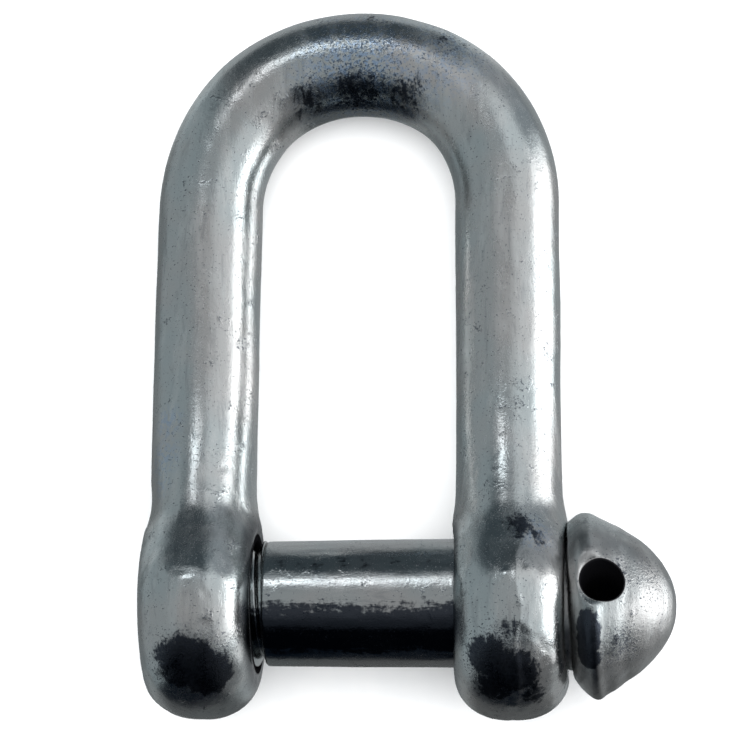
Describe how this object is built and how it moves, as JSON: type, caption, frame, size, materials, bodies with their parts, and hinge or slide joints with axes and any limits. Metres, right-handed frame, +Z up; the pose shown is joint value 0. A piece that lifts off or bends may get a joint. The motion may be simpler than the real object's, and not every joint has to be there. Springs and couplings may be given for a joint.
{
  "type": "screw pin d shackle",
  "caption": "Long D shackle: a round forged bar bent to a U with an eye at each end, closed by a screw pin with a pierced round head, for joining rope, chain and fittings.",
  "frame": {"origin": "on the pin's axis, midway between the legs", "axes": "+X along the pin towards its head, +Y towards the crown, +Z up. The shackle lies flat on its side, resting on both eyes and the crown, so the crown end droops and the bow's plane leans 6.2 degrees about X; the surface it lies on is at z = -10.73 mm"},
  "size_m": [0.0495, 0.0684, 0.0214],
  "materials": {
    "body_zinc": "forged steel, bright zinc plated, satin with fine grain",
    "pin_zinc": "forged and turned steel, bright zinc plated, satin"
  },
  "bodies": {
    "body": {"shackle_body": "body_zinc"},
    "pin": {"pin_shank": "pin_zinc"},
    "screw": {"pin_head": "pin_zinc", "pin_thread": "pin_zinc"}
  },
  "joints": [
    {"name": "pin_travel", "type": "slide", "parent": "body", "child": "pin", "axis": [1, 0, 0], "range_m": [0, 0.042]},
    {"name": "pin_turn", "type": "hinge", "parent": "pin", "child": "screw", "pos_m": [0, 0, 0], "axis": [1, 0, 0], "range_deg": [0, 8640]}
  ],
  "couplings": [
    {"joint": "pin_turn", "follows": "pin_travel", "rad_per_m": 3590.4}
  ]
}
